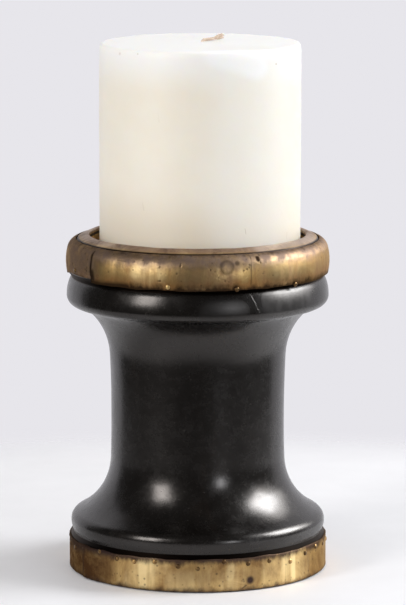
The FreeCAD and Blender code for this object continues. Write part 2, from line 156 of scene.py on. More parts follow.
def sweep_round(degrees, steps):
    """Sweeps what is selected round the holder's axis, against the clock."""
    bpy.ops.mesh.spin(
        steps=steps,
        angle=math.radians(-degrees),
        center=(0, 0, 0),
        axis=(0, 0, 1),
        use_auto_merge=False,
    )


def close_skin():
    """Merges the seam and the poles of a shape and turns its faces outwards."""
    bpy.ops.mesh.select_all(action="SELECT")
    bpy.ops.mesh.remove_doubles(threshold=MERGE_GAP)
    bpy.ops.mesh.normals_make_consistent(inside=False)
    bpy.ops.object.mode_set(mode="OBJECT")


def turn_piece(name, outline, steps=ROUND_STEPS):
    """A piece turned in one go from its outline."""
    piece = draw_outline(name, outline)
    sweep_round(360, steps)
    close_skin()
    return piece


def group_where(piece, name, strength_at):
    """A vertex group whose weight comes from each point's radius, height and angle."""
    group = piece.vertex_groups.new(name=name)
    for point in piece.data.vertices:
        x, y, z = (value / MM for value in point.co)
        weight = strength_at(math.hypot(x, y), z, math.degrees(math.atan2(y, x)))
        if weight > 0:
            group.add([point.index], min(weight, 1), "REPLACE")


def uneven(piece, group, grain, depth, direction="NORMAL", middle=1.0):
    """Gives part of a surface the unevenness of handwork, with a cloudy pattern."""
    take_up(piece)
    cloud = bpy.data.textures.new(f"{piece.name}_{group}", "CLOUDS")
    cloud.noise_scale = grain * MM
    cloud.noise_depth = 2
    press = piece.modifiers.new(group, "DISPLACE")
    press.texture = cloud
    press.texture_coords = "LOCAL"
    press.direction = direction
    press.vertex_group = group
    press.strength = depth * MM
    press.mid_level = middle
    bpy.ops.object.modifier_apply(modifier=press.name)


def nudge(piece, group, rise):
    """Lifts part of a piece, in mm, by its group's weight."""
    take_up(piece)
    lift = piece.modifiers.new(group, "DISPLACE")
    lift.direction = "Z"
    lift.vertex_group = group
    lift.strength = rise * MM
    lift.mid_level = 0
    bpy.ops.object.modifier_apply(modifier=lift.name)


def join_up(parts, name):
    """Joins parts into one piece at the origin, and gives it its name."""
    select_nothing()
    for part in parts:
        part.select_set(True)
    bpy.context.view_layer.objects.active = parts[0]
    bpy.ops.object.transform_apply(location=True, rotation=True, scale=True)
    bpy.ops.object.join()
    whole = bpy.context.object
    whole.name = whole.data.name = name
    return whole


def smooth_and_dress(piece, finish, body, stands_for, crease):
    """Smooths a finished piece, gives it its finish and fixes it to its body."""
    take_up(piece)
    bpy.ops.object.shade_smooth_by_angle(angle=math.radians(crease))
    piece.data.materials.clear()
    piece.data.materials.append(finish)
    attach(piece, body)
    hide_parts(stands_for)


# ---------------------------------------------------------------- finishes


def new_finish(name):
    finish = bpy.data.materials.new(name)
    finish.use_nodes = True
    finish.node_tree.nodes.clear()
    return finish, finish.node_tree


def put(tree, kind, *inputs, **settings):
    """Adds a node, with its settings, and with links or values on its inputs in order."""
    made = tree.nodes.new(kind)
    for name, value in settings.items():
        setattr(made, name, value)
    for socket, value in zip(made.inputs, inputs):
        if isinstance(value, bpy.types.NodeSocket):
            tree.links.new(value, socket)
        elif value is not None:
            socket.default_value = value
    return made


def sums(tree, operation, *values):
    return put(tree, "ShaderNodeMath", *values, operation=operation).outputs[0]


def most(tree, first, *others):
    """The highest of several values."""
    for value in others:
        first = sums(tree, "MAXIMUM", first, value)
    return first


def times(tree, first, second):
    return sums(tree, "MULTIPLY", first, second)


def all_but(tree, value):
    """One less a value, so that a mark becomes a hollow."""
    return sums(tree, "SUBTRACT", 1.0, value)


def points_of(tree):
    return put(tree, "ShaderNodeTexCoord").outputs["Object"]


def stretched(tree, points, along, offset=(0, 0, 0)):
    """Points drawn out so that a pattern on them is finer across than up, or the reverse."""
    moved = put(tree, "ShaderNodeVectorMath", points, offset, operation="ADD")
    return put(
        tree, "ShaderNodeVectorMath", moved.outputs[0], along, operation="MULTIPLY"
    ).outputs[0]


def cloudy(tree, points, scale, detail=4, roughness=0.6, distortion=0.0):
    """A cloudy pattern from 0 to 1, with its scale in clouds per metre."""
    made = put(tree, "ShaderNodeTexNoise")
    tree.links.new(points, made.inputs["Vector"])
    made.inputs["Scale"].default_value = scale
    made.inputs["Detail"].default_value = detail
    made.inputs["Roughness"].default_value = roughness
    made.inputs["Distortion"].default_value = distortion
    return made.outputs["Fac"]


def between(tree, value, low, high, first=0.0, last=1.0):
    """Maps a value from one range to another, smoothly and held at both ends."""
    made = put(tree, "ShaderNodeMapRange", interpolation_type="SMOOTHSTEP")
    tree.links.new(value, made.inputs["Value"])
    for name, number in zip(
        ("From Min", "From Max", "To Min", "To Max"), (low, high, first, last)
    ):
        made.inputs[name].default_value = number
    return made.outputs["Result"]


def colours(tree, value, *stops):
    """Turns a value into a colour, by stops of (value, colour)."""
    made = put(tree, "ShaderNodeValToRGB", value)
    ramp = made.color_ramp
    while len(ramp.elements) < len(stops):
        ramp.elements.new(0.5)
    for element, (place, colour) in zip(ramp.elements, stops):
        element.position = place
        element.color = (*colour, 1)
    return made.outputs["Color"]


def laid_over(tree, amount, under, over):
    """Lays one colour over another by an amount from 0 to 1."""
    made = put(tree, "ShaderNodeMix", data_type="RGBA")
    for name, value in (("Factor", amount), ("A", under), ("B", over)):
        socket = next(
            s for s in made.inputs if s.name == name and s.enabled and not s.hide
        )
        if isinstance(value, bpy.types.NodeSocket):
            tree.links.new(value, socket)
        else:
            socket.default_value = (*value, 1)
    return next(s for s in made.outputs if s.enabled)


def height_of(tree, points):
    """A point's height on the holder, in mm."""
    apart = put(tree, "ShaderNodeSeparateXYZ", points)
    return times(tree, apart.outputs["Z"], 1 / MM)


def far_from(tree, points, first, last=None):
    """The distance in mm from a spot, or from the straight line between two spots."""
    away = put(
        tree, "ShaderNodeVectorMath", points, tuple(first), operation="SUBTRACT"
    ).outputs[0]
    if last is not None:
        line = last - first
        along = put(
            tree, "ShaderNodeVectorMath", away, tuple(line), operation="DOT_PRODUCT"
        ).outputs["Value"]
        share = times(tree, along, 1 / line.length_squared)
        share.node.use_clamp = True
        foot = put(tree, "ShaderNodeVectorMath", tuple(line), operation="SCALE")
        tree.links.new(share, foot.inputs["Scale"])
        away = put(
            tree, "ShaderNodeVectorMath", away, foot.outputs[0], operation="SUBTRACT"
        ).outputs[0]
    length = put(tree, "ShaderNodeVectorMath", away, operation="LENGTH")
    return times(tree, length.outputs["Value"], 1 / MM)


def marks(tree, points, spots):
    """Lays marks side by side: each is (where, where to or None, half width in mm, strength)."""
    made = []
    for first, last, width, strength in spots:
        distance = far_from(tree, points, first, last)
        made.append(between(tree, distance, width * 0.35, width, strength, 0))
    return most(tree, *made)


def raised(tree, *layers):
    """Stacks bumps: each layer is (height value, depth in mm)."""
    normal = None
    for height, depth in layers:
        made = put(tree, "ShaderNodeBump")
        made.inputs["Distance"].default_value = depth * MM
        tree.links.new(height, made.inputs["Height"])
        if normal is not None:
            tree.links.new(normal, made.inputs["Normal"])
        normal = made.outputs["Normal"]
    return normal


def coat(tree, **sockets):
    """The finish's shader, with its sockets named as in the panel and _ for a space."""
    made = put(tree, "ShaderNodeBsdfPrincipled")
    for name, value in sockets.items():
        socket = made.inputs[name.replace("_", " ")]
        if isinstance(value, bpy.types.NodeSocket):
            tree.links.new(value, socket)
        else:
            socket.default_value = value
    put(tree, "ShaderNodeOutputMaterial", made.outputs[0])


def black_lacquer():
    """Hand-rubbed black lacquer, a little brown where it is thin, with one crack, painted shade
    in its grooves, and a greyer painted sheen on the right of the bead and the nose.
    """
    finish, tree = new_finish("black_lacquer")
    points = points_of(tree)
    thin = cloudy(tree, stretched(tree, points, (1, 1, 0.2)), 90, 4, 0.55)
    rubbed = cloudy(tree, points, 260, 6, 0.7)
    specks = between(tree, cloudy(tree, points, 1500, 2, 0.5), 0.68, 0.76)

    # The crack wanders, so it is drawn on points that are pushed about by up to 0.6 mm
    sway = put(
        tree,
        "ShaderNodeVectorMath",
        cloudy(tree, points, 420, 2, 0.5).node.outputs["Color"],
        (0.5, 0.5, 0.5),
        operation="SUBTRACT",
    )
    swayed = put(
        tree,
        "ShaderNodeVectorMath",
        sway.outputs[0],
        (0.0012, 0.0012, 0.0012),
        points,
        operation="MULTIPLY_ADD",
    ).outputs[0]
    crack = marks(
        tree,
        swayed,
        [
            (at(-65.9, 48.2, 111.4), at(-64.3, 49.4, 108.0), 0.34, 1.0),
            (at(-64.3, 49.4, 108.0), at(-62.6, 49.6, 104.8), 0.30, 1.0),
            (at(-65.0, 49.0, 102.8), at(-63.8, 42.6, 99.8), 0.22, 0.6),
            (at(-63.8, 42.6, 99.8), at(-64.7, 38.4, 95.5), 0.24, 0.7),
            (at(-64.7, 38.4, 95.5), at(-67.5, 35.3, 89.0), 0.20, 0.5),
        ],
    )

    # Fine upright scratches on the right of the bead and of the nose, whose greyer tint is also
    # a painted sheen where the right-hand lamps' highlights fall
    scratches = cloudy(tree, stretched(tree, points, (1, 1, 0.25)), 420, 3, 0.6)
    scratches_and_sheen = times(
        tree,
        marks(
            tree,
            points,
            [
                (at(-56, 48.8, 108.5), at(-36, 48.8, 108), 9.5, 1.0),
                (at(-64, 48, 19.5), at(-28, 48, 19.5), 3.4, 0.7),
            ],
        ),
        between(tree, scratches, 0.3, 0.7, 0.75, 1),
    )
    scuffed = marks(tree, points, [(at(-84, 49, 105), at(-73, 49, 105), 9.0, 0.37)])

    height = height_of(tree, points)
    # Painted shade: the grooves under the foot's nose and under the rim band, and the wood under
    # the cup's lip, made black and matt
    foot_groove_shade = between(tree, height, 14.05, 14.4, 1, 0)
    rim_groove_shade = times(
        tree,
        between(tree, height, 111.6, 112.2),
        between(tree, height, 114.2, 114.6, 1, 0),
    )
    under_lip_shade = between(tree, height, 124.6, 125.0)
    groove_shade = most(tree, foot_groove_shade, rim_groove_shade, under_lip_shade)

    tint = colours(
        tree,
        thin,
        (0.34, (0.0022, 0.0018, 0.0015)),
        (0.62, (0.0030, 0.0023, 0.0018)),
        (0.85, (0.0075, 0.0048, 0.0033)),
    )
    tint = laid_over(tree, specks, tint, (0.03, 0.027, 0.024))
    tint = laid_over(tree, crack, tint, (0.0015, 0.0013, 0.0012))
    tint = laid_over(tree, scratches_and_sheen, tint, (0.026, 0.025, 0.025))
    tint = laid_over(tree, groove_shade, tint, (0.003, 0.002, 0.0015))
    roughness = most(
        tree,
        between(tree, rubbed, 0.3, 0.75, 0.22, 0.31),
        times(tree, crack, 0.8),
        scuffed,
        times(tree, scratches_and_sheen, 0.42),
        times(tree, groove_shade, 0.5),
    )
    grain = cloudy(tree, stretched(tree, points, (1, 1, 0.08)), 900, 3, 0.6)
    normal = raised(
        tree,
        (cloudy(tree, points, 130, 3, 0.5), 0.04),
        (grain, 0.004),
        (rubbed, 0.003),
        (specks, 0.01),
        (all_but(tree, crack), 0.055),
    )
    coat(
        tree,
        Base_Color=tint,
        Metallic=groove_shade,  # painted shade as a dark metal stays black where the room shines on it
        Roughness=roughness,
        IOR=1.5,
        Specular_Tint=(1.0, 0.94, 0.90, 1),
        Normal=normal,
    )
    return finish


def band_brass(name, low, high, spots, tarnish_and_shade_spots, painted_highlight_spots, tarnish_and_shade_tint, grime_and_shade, streaked):
    """Sheet brass hammered round the wood, tarnished brown in its hollows, with painted shade at
    its edges and over some of the lamps' highlights, and painted highlights laid on as paler
    metal.

    Its dirty, shaded edges fray off upwards from low and downwards from high, and streaked says
    how much of its pattern is streaks instead of blotches.
    """
    finish, tree = new_finish(name)
    points = points_of(tree)
    streaks = cloudy(tree, stretched(tree, points, (1, 1, 0.22)), 360, 5, 0.62, 0.4)
    blotches = cloudy(tree, points, 95, 5, 0.65, 0.8)
    mixed = sums(
        tree,
        "ADD",
        times(tree, streaks, streaked),
        times(tree, blotches, 1.1 - streaked),
    )
    pits = put(tree, "ShaderNodeTexVoronoi", points, feature="F1")
    pits.inputs["Scale"].default_value = 480
    pitted = times(
        tree,
        between(tree, pits.outputs["Distance"], 0.10, 0.30, 1, 0),
        between(tree, cloudy(tree, points, 190, 2), 0.49, 0.60),
    )

    # Height, frayed by 2.5 mm up and down
    height = height_of(tree, points)
    fray = cloudy(tree, stretched(tree, points, (1, 1, 0.5)), 260, 4, 0.7)
    ragged = sums(
        tree, "ADD", height, times(tree, sums(tree, "SUBTRACT", fray, 0.5), 5.0)
    )
    # Painted shade along both edges, where the sheet tucks under and where it meets the wood,
    # laid with the dirt
    edge = most(
        tree,
        between(tree, ragged, low - 0.6, low + 2.2, 1, 0),
        between(tree, ragged, high - 2.2, high + 0.6),
    )
    from_scuff = far_from(tree, points, at(-77.5, 49.6, 122.2))
    scuff_ring = times(
        tree,
        between(tree, from_scuff, 0.6, 2.5),
        between(tree, from_scuff, 2.3, 3.3, 0.5, 0),
    )
    dirt_and_shade = most(
        tree,
        times(tree, edge, 0.94),
        marks(tree, points, spots),
        scuff_ring,
        times(tree, pitted, 0.6),
    )

    bars = cloudy(tree, stretched(tree, points, (1, 1, 0.07)), 170, 3, 0.6)
    # Painted highlights, as paler metal where the lamps' highlights fall, broken up by bars
    painted_highlight = times(
        tree,
        marks(tree, points, painted_highlight_spots),
        between(tree, bars, 0.40, 0.60, 0.25, 1),
    )
    # The rim alone has an amber lower edge and painted shade on its shoulder, over where the
    # lamps shine. Both heights are over the foot's
    amber = times(
        tree,
        between(tree, ragged, 115.4, 118.4, 0.5, 0),
        between(tree, height, 60, 61),
    )
    shoulder_shade = between(tree, ragged, 119.2, 124.4)
    patchy = between(tree, cloudy(tree, points, 210, 4, 0.7), 0.34, 0.62, 0.72, 1)
    # Tarnish in places, and painted shade laid over some of the lamps' highlights, both in the
    # tarnish colour
    tarnish_and_shade_mask = times(tree, most(tree, marks(tree, points, tarnish_and_shade_spots), shoulder_shade), patchy)

    metal = colours(
        tree,
        mixed,
        (0.34, (0.16, 0.084, 0.034)),
        (0.48, (0.33, 0.200, 0.078)),
        (0.62, (0.49, 0.325, 0.130)),
        (0.80, (0.68, 0.500, 0.235)),
    )
    metal = laid_over(tree, painted_highlight, metal, (0.84, 0.66, 0.34))
    metal = laid_over(tree, amber, metal, (0.32, 0.140, 0.045))
    metal = laid_over(tree, tarnish_and_shade_mask, metal, tarnish_and_shade_tint)
    metal = laid_over(tree, dirt_and_shade, metal, grime_and_shade)
    roughness = most(
        tree,
        between(tree, mixed, 0.38, 0.66, 0.56, 0.38),
        times(tree, dirt_and_shade, 0.6),
        times(tree, tarnish_and_shade_mask, 0.72),
    )
    normal = raised(
        tree,
        (streaks, 0.05),
        (blotches, 0.11),
        (cloudy(tree, points, 1100, 3, 0.7), 0.04),
        (all_but(tree, pitted), 0.03),
        (all_but(tree, dirt_and_shade), 0.03),
    )
    coat(
        tree,
        Base_Color=metal,
        Metallic=0.96,
        Roughness=roughness,
        Specular_Tint=(0.80, 0.66, 0.50, 1),
        Normal=normal,
    )
    return finish


def cup_brass():
    """Dull pressed brass, tarnished pinkish-brown, brighter on the cup's wall, with painted
    shade on the front of its lip and a painted sheen on the lip's right.
    """
    finish, tree = new_finish("cup_brass")
    points = points_of(tree)
    height = height_of(tree, points)
    cloud = cloudy(tree, points, 140, 5, 0.65, 0.5)
    fine = cloudy(tree, points, 900, 3, 0.7)
    lip_metal = colours(
        tree,
        cloud,
        (0.30, (0.12, 0.075, 0.05)),
        (0.52, (0.34, 0.235, 0.16)),
        (0.75, (0.56, 0.42, 0.28)),
    )
    wall_metal = colours(
        tree, cloud, (0.35, (0.26, 0.15, 0.055)), (0.7, (0.66, 0.44, 0.17))
    )
    wall = between(tree, height, 126.2, 127.4, 1, 0)
    # Painted shade on the front of the lip, and a painted sheen on its right side where the
    # lamps fall
    rubbed = marks(tree, points, [(at(-118, 43, 127), at(-62, 43, 127), 9.0, 0.45)])
    painted_lip_sheen = marks(tree, points, [(at(-55, 43, 127), at(-15, 43, 127), 7.0, 0.5)])
    seam = times(
        tree,
        between(tree, height, 126.35, 126.75, 1, 0),
        between(tree, height, 125.4, 125.6),
    )
    metal = laid_over(tree, wall, lip_metal, wall_metal)
    metal = laid_over(tree, rubbed, metal, (0.21, 0.125, 0.085))
    metal = laid_over(tree, painted_lip_sheen, metal, (0.56, 0.45, 0.37))
    metal = laid_over(tree, seam, metal, (0.018, 0.010, 0.007))
    coat(
        tree,
        Base_Color=metal,
        Metallic=0.8,
        Roughness=between(tree, cloud, 0.3, 0.7, 0.52, 0.36),
        Normal=raised(tree, (cloud, 0.25), (fine, 0.03)),
    )
    return finish


def nail_brass():
    """Small cast-brass nail and screw heads, dark where the polish never reached, with painted
    shade on the nails at the far left and under the rim band, and a painted highlight on one rim
    nail.
    """
    finish, tree = new_finish("nail_brass")
    points = points_of(tree)
    cloud = cloudy(tree, points, 420, 4, 0.6)
    patches = between(tree, cloudy(tree, points, 55, 1), 0.47, 0.53)
    # Painted shade on the foot's nails at the far left, a painted highlight on the seen rim nail
    # furthest left, and painted shade on the rim nails under the band's overhang
    shaded_left_nails = marks(tree, points, [(at(-178, 49, 12), at(-144, 49, 12), 9.0, 1.0)])
    painted_nail_glint = marks(tree, points, [(at(-102.7, 50, 114.9), None, 3.0, 1.0)])
    shade_under_rim = marks(tree, points, [(at(-74, 50, 113.9), at(-43, 50, 113.4), 5.0, 0.9)])
    patches_and_shade = sums(tree, "SUBTRACT", most(tree, patches, shaded_left_nails), painted_nail_glint)
    patches_and_shade.node.use_clamp = True
    patches_and_shade = most(tree, patches_and_shade, shade_under_rim)
    metal = colours(
        tree,
        cloud,
        (0.34, (0.10, 0.055, 0.024)),
        (0.54, (0.38, 0.23, 0.09)),
        (0.72, (0.72, 0.50, 0.20)),
    )
    metal = laid_over(tree, painted_nail_glint, metal, (0.60, 0.42, 0.18))
    metal = laid_over(tree, times(tree, patches_and_shade, 0.8), metal, (0.05, 0.026, 0.012))
    coat(
        tree,
        Base_Color=metal,
        Metallic=0.92,
        Roughness=between(tree, cloud, 0.3, 0.7, 0.5, 0.3),
        Normal=raised(tree, (cloud, 0.12), (cloudy(tree, points, 1600, 2), 0.03)),
    )
    return finish


def ivory_wax():
    """Ivory paraffin wax, slightly translucent, with pits at its edge and a few scratches,
    painted shade low down by the cup and on the left, and painted light on its top and its
    right.
    """
    finish, tree = new_finish("ivory_wax")
    points = points_of(tree)
    height = height_of(tree, points)
    cloud = cloudy(tree, points, 45, 4, 0.55)
    fine = cloudy(tree, points, 420, 4, 0.6)
    # Painted shade low down by the cup, and painted light over the top
    shade_near_cup = between(tree, height, 121, 150, 1, 0)
    painted_top_light = between(tree, height, 183.0, 198.0)
    shaded = marks(tree, points, [(at(-150, 37, 124), at(-105, 37, 122), 30.0, 0.6)])
    lit = marks(tree, points, [(at(-58, 38, 124), at(-58, 38, 200), 24.0, 0.5)])
    bloom = marks(tree, points, [(at(-80, 37.5, 199.0), at(-55, 38.6, 194.0), 6.5, 0.85)])
    pits = marks(
        tree,
        points,
        [
            (at(-126.4, 37.45, 198.6), None, 0.6, 0.9),
            (at(-140.9, 37.3, 198.0), None, 0.9, 0.3),
            (at(-99.5, 37.9, 198.8), None, 0.40, 0.3),
            (at(-41.8, 38.7, 194.4), None, 0.50, 0.5),
            (at(95.4, 18.0, 200.4), None, 0.45, 0.6),
            (at(2.0, 8.4, 200.4), None, 0.40, 0.6),
            (at(-123.1, 37.6, 143.6), at(-122.0, 37.6, 140.8), 0.30, 0.35),
            (at(-63.1, 38.5, 134.3), at(-62.6, 38.5, 132.4), 0.30, 0.28),
            (at(-31.1, 38.9, 130.8), at(-31.6, 38.9, 128.4), 0.30, 0.28),
            (at(-112.7, 37.7, 177.4), at(-112.2, 37.7, 174.0), 0.28, 0.25),
        ],
    )
    wax = colours(
        tree,
        cloud,
        (0.3, (0.855, 0.795, 0.680)),
        (0.7, (0.890, 0.840, 0.735)),
    )
    for amount, tint in (
        (shade_near_cup, (0.83, 0.755, 0.62)),
        (shaded, (0.74, 0.66, 0.53)),
        (painted_top_light, (0.925, 0.91, 0.875)),
        (lit, (0.885, 0.858, 0.800)),
        (bloom, (0.955, 0.95, 0.935)),
        (pits, (0.45, 0.36, 0.25)),
    ):
        wax = laid_over(tree, amount, wax, tint)
    coat(
        tree,
        Base_Color=wax,
        Roughness=between(tree, fine, 0.3, 0.7, 0.42, 0.52),
        IOR=1.44,
        Subsurface_Weight=0.35,
        Subsurface_Radius=(1.0, 0.75, 0.45),
        Subsurface_Scale=0.003,
        Normal=raised(tree, (cloud, 0.25), (fine, 0.02), (all_but(tree, pits), 0.25)),
    )
    return finish


def wick_cotton():
    """Waxed cotton strands, tan and a little darker in their twist."""
    finish, tree = new_finish("wick_cotton")
    points = points_of(tree)
    cloud = cloudy(tree, points, 900, 4, 0.65)
    cotton = colours(
        tree,
        cloud,
        (0.3, (0.56, 0.42, 0.31)),
        (0.6, (0.74, 0.60, 0.48)),
        (0.8, (0.86, 0.76, 0.66)),
    )
    coat(
        tree,
        Base_Color=cotton,
        Roughness=0.8,
        Sheen_Weight=0.3,
        Normal=raised(tree, (cloudy(tree, points, 3500, 2), 0.08)),
    )
    return finish


def dark_felt():
    """Pressed felt, charcoal, with paler fibres lying all ways."""
    finish, tree = new_finish("dark_felt")
    points = points_of(tree)
    fibres = cloudy(tree, points, 1900, 6, 0.8, 2.5)
    matted = cloudy(tree, points, 160, 4, 0.6)
    felt = colours(
        tree,
        fibres,
        (0.35, (0.012, 0.012, 0.013)),
        (0.6, (0.036, 0.035, 0.036)),
        (0.78, (0.10, 0.10, 0.10)),
    )
    coat(
        tree,
        Base_Color=felt,
        Roughness=0.95,
        Sheen_Weight=0.5,
        Normal=raised(tree, (matted, 0.15), (fibres, 0.12)),
    )
    return finish


def pale_table():
    """A pale table top whose edge fades away, so that only the wall's colour shows beyond."""
    finish, tree = new_finish("pale_table")
    points = points_of(tree)
    cloud = cloudy(tree, points, 25, 4, 0.6)
    paint = colours(tree, cloud, (0.3, (0.84, 0.83, 0.84)), (0.7, (0.88, 0.87, 0.88)))
    board = put(tree, "ShaderNodeBsdfPrincipled", paint)
    board.inputs["Roughness"].default_value = 0.6
    clear = put(tree, "ShaderNodeBsdfTransparent")

    # The fade in metres: all round it starts 0.19 from the middle, and in front 0.09 from it
    apart = put(tree, "ShaderNodeSeparateXYZ", points)
    across = times(tree, apart.outputs["X"], 0.9)
    flat = put(tree, "ShaderNodeCombineXYZ", across, apart.outputs["Y"], 0.0)
    out_by = put(tree, "ShaderNodeVectorMath", flat.outputs[0], operation="LENGTH")
    fade = most(
        tree,
        between(tree, out_by.outputs["Value"], 0.19, 0.27),
        between(tree, apart.outputs["Y"], -0.27, -0.09, 1, 0),
    )
    mixed = put(
        tree, "ShaderNodeMixShader", fade, board.outputs[0], clear.outputs[0]
    )
    put(tree, "ShaderNodeOutputMaterial", mixed.outputs[0])
    return finish


def dark_surround():
    """The faint glow of the unlit part of the room."""
    finish, tree = new_finish("dark_surround")
    glow = put(tree, "ShaderNodeEmission", (0.075, 0.072, 0.07, 1), 1.0)
    put(tree, "ShaderNodeOutputMaterial", glow.outputs[0])
    return finish


# ---------------------------------------------------------------- pieces


def turned_wood():
    """The turning: a foot with a round nose, a hollow neck and a bead under the rim."""
    outline = [
        (0, 1.65),
        ("line", 42.3, 1.65, 8),
        ("line", 42.3, 0.5),
        ("line", 47.35, 0.5),
        ("line", 48.35, 1.5),
        ("line", 48.35, FOOT_TOP, 3),
        ("line", 47.4, 14.05),
        ("line", 47.4, 14.3),
        ("round", 48.3, 18.2, 8.9),
        ("round", 46.102, 21.771, 4),
        ("hollow", 33.172, 42, 23.558),
        ("hollow", 33.513, 82, 470),
        ("hollow", 43.9, 100.8, 24.504),
        ("line", 45.7, 100.8),
        ("round", 49.7, 104.8, 4),
        ("round", 48, 111.8, 15.262),
        ("line", 47.6, 112.2),
        ("line", 47.6, RIM_LOW),
        ("line", 48.719, RIM_LOW),
        ("round", 48.636, 122.838, 19.35),
        ("round", 45.842, 125.61, 3.85),
        ("line", 41.55, 127.579),
        ("line", 41.55, 119.49, 4),
        ("line", 4.25, 119.49, 10),
        ("line", 2.05, 117.29),
        ("line", 2.05, 94.89, 8),
        ("line", 0, 94.89),
    ]
    wood = turn_piece("turned_wood", outline)

    def bare_skin(r, z, angle):
        inside = r > 31 and 14.5 < z < 111.5
        return min((z - 14.5) / 6, (111.5 - z) / 6, 1) if inside else 0

    group_where(wood, "hand_rubbed", bare_skin)
    uneven(wood, "hand_rubbed", grain=22, depth=0.22)
    smooth_and_dress(
        wood,
        black_lacquer(),
        body="holder",
        stands_for="turned_body",
        crease=50,
    )


def wrap_band(name, outline, hidden_end, lap):
    """Wraps a sheet section round the wood, with its last degrees lapped over its hidden end."""
    band = draw_outline(name, outline, hidden_end, closed=True)
    rise_degrees = 10
    plain = 360 - rise_degrees
    sweep_round(-plain, plain)
    risen = 0
    for k in range(1, rise_degrees + 1):
        sweep_round(-1, 1)
        share = math.sin(math.pi / 2 * k / rise_degrees)
        out = at(hidden_end - plain - k, LAP_LIFT * (share - risen), 0)
        bpy.ops.transform.translate(value=out)
        risen = share
    lap_steps = 5
    for _ in range(lap_steps):
        sweep_round(-lap / lap_steps, 1)
    bpy.ops.mesh.select_all(action="SELECT")
    bpy.ops.mesh.remove_doubles(threshold=MERGE_GAP)
    bpy.ops.mesh.fill_holes(sides=0)
    close_skin()
    return band


def rim_brass():
    """The bulging band of the rim, hammered over the wood and lapped at the viewer's left."""
    outline = [
        (49.30, RIM_LOW),
        ("line", 49.40, 113.62),
        ("round", 49.265, 123, 20),
        ("round", 46, 126.24, 4.5),
        ("line", 45.854, 125.658),
        ("hollow", 48.684, 122.85, 3.9),
        ("hollow", 48.771, RIM_LOW, 19.4),
        ("line", 49.30, RIM_LOW),
    ]
    band = wrap_band("rim_brass", outline, hidden_end=-137.4, lap=4.6)

    def outer_skin(r, z, angle):
        out = r > 48.95 or (z > 123 and r + z > 171.9)
        return min(max((126.0 - z) / 1.5, 0), 1) if out and z > 114 else 0

    group_where(band, "hammered", outer_skin)
    uneven(band, "hammered", grain=9, depth=0.05)
    group_where(band, "lower_edge", lambda r, z, angle: max(0, 1 - (z - RIM_LOW) / 2.5))
    uneven(band, "lower_edge", grain=9, depth=0.9, direction="Z", middle=0.62)

    def short_tail(r, z, angle):
        if not -176 < angle < -142.4:
            return 0
        return max(0, 1 - (z - 113) / 6) * min((angle + 176) / 12, 1)

    group_where(band, "short_tail", short_tail)
    nudge(band, "short_tail", rise=1.5)
    spots = [
        (at(-63, 48.2, 124.9), at(-63, 48.7, 124.3), 1.25, 1.0),
        (at(-72.9, 49.4, 123.6), None, 1.4, 0.6),
        (at(-50.5, 49.6, 122.6), None, 0.5, 0.6),
        (at(-66.2, 48.0, 125.3), at(-66.7, 49.6, 121.5), 0.40, 0.55),
        (at(-66.7, 49.6, 121.5), at(-66.9, 49.8, 113.6), 0.40, 0.5),
        (at(-142.6, 48.9, 125.6), at(-142.5, 50.3, 121.5), 1.5, 1.0),
        (at(-142.5, 50.3, 121.5), at(-142.0, 50.2, 113.0), 1.6, 1.0),
        (at(-141.5, 50.1, 117.5), at(-140.6, 50.0, 113.5), 2.3, 0.9),
        (at(-127, 49.3, 123.6), at(-122.5, 49.4, 123.3), 0.45, 0.45),
        (at(-131, 49.8, 118.8), None, 0.7, 0.5),
        # Painted shade along the lower edge on the viewer's left
        (at(-142, 49.9, 113.2), at(-122, 49.9, 113.2), 3.2, 0.95),
    ]
    # Tarnish and painted shade: the spot at -77.2 is tarnish round the scuff, and the far ends
    # and the right are painted shade
    tarnish_and_shade_spots = [
        (at(-165, 49, 120), at(-148, 50, 119), 13.0, 0.95),
        (at(-90, 49.9, 117), at(-80, 49.9, 119), 8.0, 0.35),
        (at(-77.2, 49.9, 122.6), None, 4.2, 0.55),
        (at(-24, 49.5, 118), at(10, 49, 118), 10.0, 0.45),
        (at(-95, 49.9, 120), at(-78, 49.9, 120), 7.0, 0.3),
        (at(-56, 49.9, 119), at(-34, 49.9, 119), 9.0, 0.25),
    ]
    # Painted highlights, laid on as paler metal
    painted_highlight_spots = [
        (at(-114, 49.9, 119.0), at(-110, 49.9, 119.0), 7.0, 0.7),
        (at(-53, 49.9, 117.5), at(-44, 49.9, 118), 6.5, 0.2),
    ]
    finish = band_brass(
        "rim_band_brass",
        low=114.1,
        high=127.2,
        spots=spots,
        tarnish_and_shade_spots=tarnish_and_shade_spots,
        painted_highlight_spots=painted_highlight_spots,
        tarnish_and_shade_tint=(0.195, 0.140, 0.110),
        grime_and_shade=(0.020, 0.011, 0.007),
        streaked=0.42,
    )
    smooth_and_dress(
        band, finish, body="holder", stands_for="rim_band", crease=50
    )


